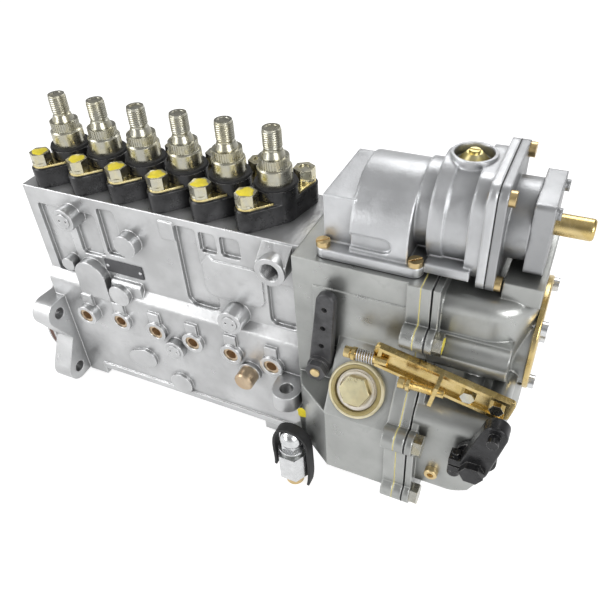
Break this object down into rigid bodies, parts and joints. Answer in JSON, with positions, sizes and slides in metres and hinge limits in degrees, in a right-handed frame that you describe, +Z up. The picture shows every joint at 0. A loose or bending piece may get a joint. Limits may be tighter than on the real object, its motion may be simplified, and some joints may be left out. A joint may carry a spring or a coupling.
{
  "type": "in-line diesel fuel injection pump",
  "caption": "In-line diesel injection pump: cast body with a row of delivery valves, drive flange, mechanical governor with control and stop levers, and a boost unit on top.",
  "frame": {"origin": "centre of the drive flange's bolt pattern on its mounting face, on the camshaft axis", "axes": "+X along the camshaft towards the governor, +Z up towards the delivery valves, -Y is the side with the levers"},
  "size_m": [0.446, 0.152, 0.2625],
  "materials": {
    "cast_body": "bright cast, lightly blasted",
    "satin_cast": "satin grey cast",
    "silver_cast": "silver cast",
    "black_steel": "black phosphated",
    "yellow_zinc": "yellow zinc plated",
    "bright_steel": "ground steel",
    "dark_steel": "dark oiled steel",
    "brass": "satin",
    "white_zinc": "clear zinc plated",
    "rubber": "matt",
    "brown_seal": "satin",
    "yellow_gasket": "matt paper",
    "black_gasket": "matt",
    "cream_cap": "cream zinc plated",
    "plate": "brushed"
  },
  "bodies": {
    "pump": {"barrels": "bright_steel", "blanking_plugs": "brass", "boost_cover": "silver_cast", "boost_diaphragm": "rubber", "boost_end_block": "satin_cast", "boost_gasket": "black_gasket", "boost_housing": "silver_cast", "boost_pipe": "yellow_zinc", "boost_screws": "white_zinc", "boost_spring": "bright_steel", "bracket_bar": "yellow_zinc", "bushing_nuts": "yellow_zinc", "bushing_shims": "yellow_zinc", "bushing_studs": "yellow_zinc", "camshaft_bearings": "bright_steel", "cap_hexagon": "brass", "cap_plug": "brass", "delivery_bushings": "black_steel", "delivery_valve_holders": "yellow_zinc", "delivery_valves": "bright_steel", "drive_end_seals": "brown_seal", "end_cover": "yellow_zinc", "end_cover_screws": "white_zinc", "filler_plug": "brass", "fitting_strap": "rubber", "governor_bolts": "white_zinc", "governor_cap": "cream_cap", "governor_front_housing": "satin_cast", "governor_gasket": "yellow_gasket", "governor_rear_housing": "satin_cast", "governor_ring": "satin_cast", "holder_seals": "rubber", "overflow_end_plug": "brass", "overflow_fitting": "white_zinc", "plunger_springs": "bright_steel", "plungers": "bright_steel", "pump_housing": "cast_body", "rear_gasket": "black_gasket", "stop_screws": "yellow_zinc", "tappet_guide_screws": "brass", "tappet_rollers": "bright_steel", "tappets": "bright_steel", "type_plate": "plate"},
    "camshaft": {"camshaft": "bright_steel", "drive_nut": "black_steel", "flyweight_carrier": "bright_steel"},
    "rack": {"control_rack": "bright_steel"},
    "fulcrum_lever": {"fulcrum_lever": "bright_steel"},
    "governor_sleeve": {"governor_sleeve": "bright_steel"},
    "flyweight_1": {"flyweight_1": "bright_steel"},
    "flyweight_2": {"flyweight_2": "bright_steel"},
    "stop_lever": {"stop_lever": "dark_steel"},
    "control_lever": {"control_lever": "dark_steel"},
    "boost_rod": {"boost_rod": "bright_steel"},
    "sleeve_1": {"control_sleeve_1": "bright_steel"},
    "sleeve_2": {"control_sleeve_2": "bright_steel"},
    "sleeve_3": {"control_sleeve_3": "bright_steel"},
    "sleeve_4": {"control_sleeve_4": "bright_steel"},
    "sleeve_5": {"control_sleeve_5": "bright_steel"},
    "sleeve_6": {"control_sleeve_6": "bright_steel"}
  },
  "joints": [
    {"name": "cam_spin", "type": "hinge", "parent": "pump", "child": "camshaft", "pos_m": [0, 0, 0], "axis": [1, 0, 0], "continuous": true},
    {"name": "rack_slide", "type": "slide", "parent": "pump", "child": "rack", "axis": [1, 0, 0], "range_m": [-0.0105, 0.0105], "stiffness_N_per_m": 300},
    {"name": "fulcrum_swing", "type": "hinge", "parent": "pump", "child": "fulcrum_lever", "pos_m": [0.268, 0, 0.018], "axis": [0, 1, 0], "range_deg": [-9.2, 9.2]},
    {"name": "governor_sleeve_slide", "type": "slide", "parent": "pump", "child": "governor_sleeve", "axis": [1, 0, 0], "range_m": [-0.0029, 0.0029]},
    {"name": "flyweight_swing_1", "type": "hinge", "parent": "camshaft", "child": "flyweight_1", "pos_m": [0.288, 0, 0.02], "axis": [0, 1, 0], "range_deg": [-18.4, 18.4]},
    {"name": "flyweight_swing_2", "type": "hinge", "parent": "camshaft", "child": "flyweight_2", "pos_m": [0.288, 0, -0.02], "axis": [0, 1, 0], "range_deg": [-18.4, 18.4]},
    {"name": "stop_lever_swing", "type": "hinge", "parent": "pump", "child": "stop_lever", "pos_m": [0.266, -0.054, 0.071], "axis": [0, 1, 0], "range_deg": [-40, 0], "stiffness_Nm_per_rad": 0.1},
    {"name": "control_lever_swing", "type": "hinge", "parent": "pump", "child": "control_lever", "pos_m": [0.378, -0.0795, 0.048], "axis": [0, 1, 0], "range_deg": [-40, 0]},
    {"name": "boost_rod_slide", "type": "slide", "parent": "pump", "child": "boost_rod", "axis": [1, 0, 0], "range_m": [-0.006, 0], "stiffness_N_per_m": 500},
    {"name": "sleeve_turn_1", "type": "hinge", "parent": "pump", "child": "sleeve_1", "pos_m": [0.038, 0, 0.084], "axis": [0, 0, 1], "range_deg": [-30.2, 30.2]},
    {"name": "sleeve_turn_2", "type": "hinge", "parent": "pump", "child": "sleeve_2", "pos_m": [0.073, 0, 0.084], "axis": [0, 0, 1], "range_deg": [-30.2, 30.2]},
    {"name": "sleeve_turn_3", "type": "hinge", "parent": "pump", "child": "sleeve_3", "pos_m": [0.108, 0, 0.084], "axis": [0, 0, 1], "range_deg": [-30.2, 30.2]},
    {"name": "sleeve_turn_4", "type": "hinge", "parent": "pump", "child": "sleeve_4", "pos_m": [0.143, 0, 0.084], "axis": [0, 0, 1], "range_deg": [-30.2, 30.2]},
    {"name": "sleeve_turn_5", "type": "hinge", "parent": "pump", "child": "sleeve_5", "pos_m": [0.178, 0, 0.084], "axis": [0, 0, 1], "range_deg": [-30.2, 30.2]},
    {"name": "sleeve_turn_6", "type": "hinge", "parent": "pump", "child": "sleeve_6", "pos_m": [0.213, 0, 0.084], "axis": [0, 0, 1], "range_deg": [-30.2, 30.2]}
  ],
  "couplings": [
    {"joint": "fulcrum_swing", "follows": "rack_slide", "rad_per_m": 15.152},
    {"joint": "governor_sleeve_slide", "follows": "rack_slide", "ratio": -0.27273},
    {"joint": "flyweight_swing_1", "follows": "rack_slide", "rad_per_m": 30.303},
    {"joint": "flyweight_swing_2", "follows": "rack_slide", "rad_per_m": -30.303},
    {"joint": "sleeve_turn_1", "follows": "rack_slide", "rad_per_m": 50},
    {"joint": "sleeve_turn_2", "follows": "rack_slide", "rad_per_m": 50},
    {"joint": "sleeve_turn_3", "follows": "rack_slide", "rad_per_m": 50},
    {"joint": "sleeve_turn_4", "follows": "rack_slide", "rad_per_m": 50},
    {"joint": "sleeve_turn_5", "follows": "rack_slide", "rad_per_m": 50},
    {"joint": "sleeve_turn_6", "follows": "rack_slide", "rad_per_m": 50}
  ]
}
